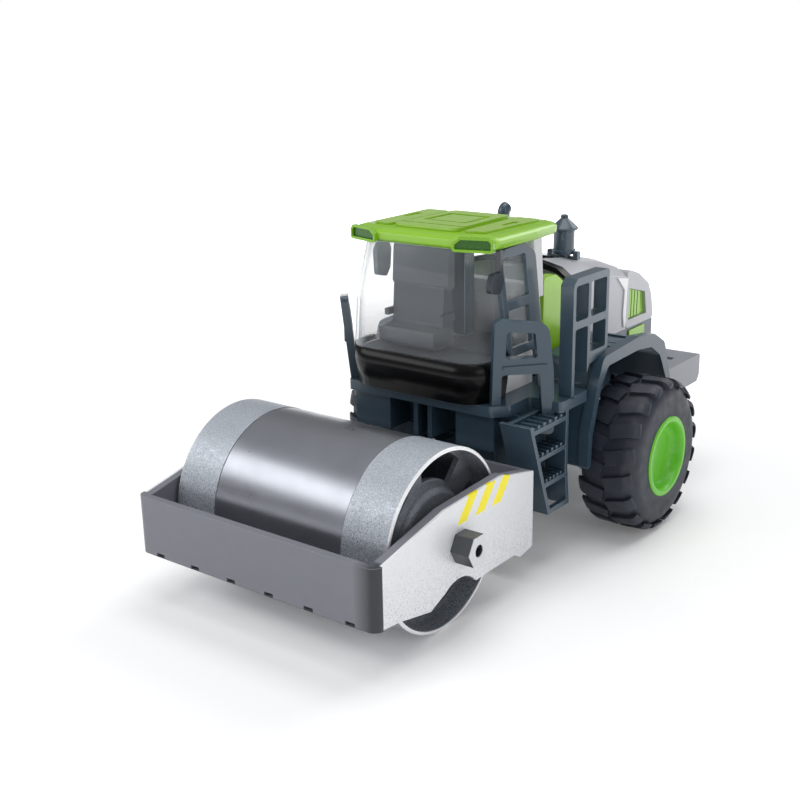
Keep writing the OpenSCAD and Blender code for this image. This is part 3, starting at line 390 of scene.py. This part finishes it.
def drum_band_look():
    """Sprayed silver grain: dark specks, and a bright turned rim. The specks fade towards the drum's top at
    rest, a painted shade that turns with the drum.
    """
    look = Look("drum_band_grain", linear(186, 190, 198), 0.46, metallic=0.45)
    low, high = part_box("drum_end_left")
    axis_y, axis_z = (low.y + high.y) / 2, (low.z + high.z) / 2
    radius = (high.z - low.z) / 2
    x, y, z = look.split()
    dy = look.math("SUBTRACT", y, axis_y)
    dz = look.math("SUBTRACT", z, axis_z)
    squares = look.math("ADD", look.math("MULTIPLY", dy, dy), look.math("MULTIPLY", dz, dz))
    reach = look.math("SQRT", squares)
    far = look.math("ABSOLUTE", x)

    fine = look.math("MULTIPLY", look.noise(2300, 2, 0.75), 0.6)
    grit = look.math("MULTIPLY", look.noise(5200, 1, 0.5), 0.4)
    specks = look.remap(look.math("ADD", fine, grit), 0.49, 0.56, 0, 1)
    # Painted shade: the specks grow darker and denser low on the drum as it stands at rest
    painted_shade_low = look.remap(z, axis_z - 4 * MM, axis_z + radius * 0.85, 0.85, 0.30)
    lights = look.remap(look.noise(3100, 2, 0.7), 0.58, 0.66, 0, 0.6)
    tone = look.mix(look.math("MULTIPLY", specks, painted_shade_low), linear(180, 186, 194), linear(78, 87, 100))
    tone = look.mix(lights, tone, linear(236, 239, 243))

    inner = look.remap(reach, radius - 1.2 * MM, radius - 0.9 * MM, 1, 0)
    tone = look.mix(look.math("MULTIPLY", inner, 0.55), tone, linear(96, 101, 110))
    edge = look.remap(far, high.x - 0.5 * MM, high.x - 0.2 * MM, 0, 1)
    shell = look.remap(reach, radius - 1.3 * MM, radius - 1.1 * MM, 0, 1)
    look.colour_out = look.mix(look.math("MULTIPLY", edge, shell), tone, linear(246, 247, 249))
    look.rough_noise(700, 0.36, 0.56).grain(2300, 0.32, 0.00009, 3)
    return look.done()


def frame_look():
    """Satin grey paint that runs into painted shade at the corner beside the left side plate."""
    name = "frame_grey_paint"
    look = Look(name, linear(118, 120, 128), 0.42)
    look.vary(COLOUR_SCALE, 0.02)
    low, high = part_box("drum_frame")
    x, y, _ = look.split()
    # Painted shade: the front face darkens towards its corner on the high X side
    painted_shade_toward_corner = look.remap(x, high.x - 7.2 * MM, high.x - 1.6 * MM, 0, 0.95)
    front = look.remap(y, low.y + 3.5 * MM, low.y + 4.5 * MM, 1, 0)
    look.paint(look.math("MULTIPLY", painted_shade_toward_corner, front), linear(38, 42, 47))
    look.rough_noise(GLOSS_SCALE, 0.38, 0.46).grain(3200, 0.08)
    # The rounded edges get a lighter grey, a painted highlight
    PAINTED_EDGE_LIGHT_LOOKS[name] = plastic("frame_grey_edge", (140, 142, 150), 0.40, grain=0.04)
    return look.done()


def boss_look():
    """Dark plastic hexagon sides with a silver print on the outer end faces."""
    look = Look("boss_grey_plastic", linear(66, 71, 75), 0.34)
    end_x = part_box("hex_boss_left")[1].x
    x, _, _ = look.split()
    face = look.remap(look.math("ABSOLUTE", x), end_x - 0.3 * MM, end_x - 0.1 * MM, 0, 1)
    look.vary(70, 0.05).paint(face, linear(216, 219, 223))
    look.rough_noise(200, 0.28, 0.40).grain(2800, 0.08)
    return look.done()


def stripes(look, y, z):
    """A mask of three slanting stripes; each start is where a stripe's foot lies along Y."""
    foot_z, head_z = 32.1 * MM, 39.3 * MM
    lean = 0.80
    width = 4.5 * MM
    starts = (-64.8 * MM, -56.3 * MM, -48.1 * MM)
    along = look.math("SUBTRACT", y, look.math("MULTIPLY", look.math("SUBTRACT", z, foot_z), lean))
    inside = None
    for start in starts:
        after = look.math("GREATER_THAN", along, start)
        before = look.math("LESS_THAN", along, start + width)
        stripe = look.math("MULTIPLY", after, before)
        inside = stripe if inside is None else look.math("MAXIMUM", inside, stripe)
    inside = look.math("MULTIPLY", inside, look.math("GREATER_THAN", z, foot_z))
    return look.math("MULTIPLY", inside, look.math("LESS_THAN", z, head_z))


def plate_look():
    """Silver print with three slanting yellow stripes, and fine specks towards its lower edge."""
    look = Look("side_plate_print", linear(214, 216, 220), 0.34, metallic=0.15, coat=0.15)
    low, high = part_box("side_plate_left")
    _, y, z = look.split()
    specks = look.remap(look.noise(2300, 3, 0.7), 0.50, 0.62, 0, 1)
    lower = look.remap(z, low.z + 4 * MM, low.z + 20 * MM, 0.50, 0.10)
    rear = look.remap(y, high.y - 30 * MM, high.y, 0, 0.32)
    tone = look.mix(look.math("MULTIPLY", specks, lower), linear(234, 236, 239), linear(142, 147, 157))
    tone = look.mix(rear, tone, linear(158, 161, 168))
    look.colour_out = look.mix(stripes(look, y, z), tone, linear(255, 238, 0))
    look.rough_noise(300, 0.28, 0.42).grain(2600, 0.06)
    return look.done()


# ---------------------------------------------------------------- the lamps and the cab floor

def lamp_look():
    """Lime lamp housings with a dark green lens on the face of each."""
    look = Look("roof_lamp_plastic", linear(122, 176, 34), 0.26, specular=0.3)
    look.vary(COLOUR_SCALE, 0.03)
    _, facing_y, _ = look.split(look.normals)
    forward = look.remap(facing_y, -0.90, -0.80, 1, 0)
    x, y, _ = look.split()
    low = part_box("roof_lamp_left")[0]
    lean = math.tan(math.radians(15.6))
    across = look.math("MULTIPLY", look.math("SUBTRACT", look.math("ABSOLUTE", x), low.x), lean)
    behind = look.math("SUBTRACT", look.math("SUBTRACT", y, low.y), across)
    recessed = look.remap(behind, 0.35 * MM, 0.55 * MM, 0, 1)
    look.paint(look.math("MULTIPLY", forward, recessed), linear(40, 96, 2))
    look.rough_noise(700, 0.22, 0.30).grain(5200, 0.03)
    return look.done()


def cab_floor_look():
    """Grey moulding, near white on its outer sides."""
    look = Look("cab_floor_plastic", linear(84, 89, 96), 0.40)
    look.vary(COLOUR_SCALE, 0.03)
    x, _, _ = look.split()
    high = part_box("cab_floor")[1]
    outer = look.remap(look.math("ABSOLUTE", x), high.x - 1.2 * MM, high.x - 0.6 * MM, 0, 1)
    look.paint(outer, linear(238, 239, 240))
    look.rough_noise(GLOSS_SCALE, 0.36, 0.44).grain(5200, 0.05)
    return look.done()


# ---------------------------------------------------------------- carried-over CAD nodes

# The look of each of the record's material slots
LOOKS = {
    "slate": slate,
    "frame_grey": frame_look(),
    "silver_print": plate_look(),
    "drum_band": drum_band_look(),
    "drum_centre": drum_centre_look(),
    "steel": steel_look("bright_steel", (178, 180, 184), 0.20, 0.38),
    "boss_grey": boss_look(),
    "tyre": rubber_look(),
    "hub_green": hub_green,
    "lime": lime,
    "lamp_green": lamp_look(),
    "light_grey": light_grey,
    "white_print": white_print,
    "black": black_gloss,
    "seat_grey": seat_grey,
    "clear": glass_look(),
}

# Nodes with a look of their own
NODE_LOOKS = {
    "axle_screws": steel_look("dark_steel", (40, 41, 44), 0.34, 0.50),
    "hood_side_left": painted_light_lime,
    "hood_side_right": painted_light_lime,
    "mirror_left": dark_slate,
    "cab_floor": cab_floor_look(),
    "counterweight": painted_shade_grey,
    "roof_panel": roof_lime,
    "cab_rear_frame": painted_lit_grey,
}

# Width of each piece's rounded edges in millimetres, with one entry for a left and right pair
BEVELS = {
    "drum_frame": 0.5, "side_plate": 0.15, "hex_boss": 0.25, "tyre": 0.25,
    "steering_pin": 0.2, "axle_screws": 0.08, "chassis_screws": 0.08,
    "deck": 0.4, "body_shell": 0.4, "fender": 0.45, "ladder": 0.2,
    "front_rail": 0.4, "side_rail": 0.35, "counterweight": 0.5,
    "cab_glass": 0, "nose_panel": 0, "door": 0.4, "cab_rear_frame": 0.4,
    "cab_column": 0.5, "cab_floor": 0.4, "seat": 0.6,
    "roof": 0.2, "roof_panel": 0.25, "roof_lamp": 0.3, "mirror": 0.4,
    "hood": 0.5, "hood_side": 0.5, "hood_trim": 0.3, "hood_mesh": 0.08,
    "grille": 0.1, "hood_strip": 0.08,
    "air_cleaner": 0.2, "air_cleaner_cap": 0.15, "exhaust": 0.1,
}
OTHER_BEVEL = 0.2

# Edges that turn by more than this many degrees are rounded
BEVEL_ANGLE = 38
WELD_REACH = 0.004 * MM

# Thin curved shells that shade as one smooth surface
SMOOTH_SHELLS = ("nose_panel", "cab_glass")

# With this in place of a slot, rounded faces keep the look of the faces beside them
NO_SLOT = -1


def soften(obj, width_mm, edge_slot):
    """Rounds a node's edges with modifiers, and gives the rounded faces their own material slot."""
    weld = obj.modifiers.new("weld", "WELD")
    weld.merge_threshold = WELD_REACH
    if width_mm:
        bevel = obj.modifiers.new("round", "BEVEL")
        bevel.width = width_mm * MM
        bevel.segments = 3
        bevel.limit_method = "ANGLE"
        bevel.angle_limit = math.radians(BEVEL_ANGLE)
        bevel.harden_normals = True
        bevel.use_clamp_overlap = True
        bevel.material = edge_slot
    if obj.name not in SMOOTH_SHELLS:
        normals = obj.modifiers.new("normals", "WEIGHTED_NORMAL")
        normals.keep_sharp = True


def dress(name, obj, look):
    """Puts a look and its edge look on a node, and rounds the node's edges."""
    if not obj.material_slots:
        obj.data.materials.append(look)
    for slot in obj.material_slots:
        slot.material = look
    for polygon in obj.data.polygons:
        polygon.use_smooth = True
    edge_slot = NO_SLOT
    if look.name in PAINTED_EDGE_LIGHT_LOOKS:
        edge_slot = len(obj.material_slots)
        obj.data.materials.append(PAINTED_EDGE_LIGHT_LOOKS[look.name])
    pair_name = name.removesuffix("_left").removesuffix("_right")
    soften(obj, BEVELS.get(pair_name, OTHER_BEVEL), edge_slot)


record_slots = {s["node"]: s["material_slot"] for s in frame["record"]["subparts"]}
for node_name, node_object in nodes.items():
    node_look = NODE_LOOKS.get(node_name) or LOOKS[record_slots[node_name]]
    dress(node_name, node_object, node_look)
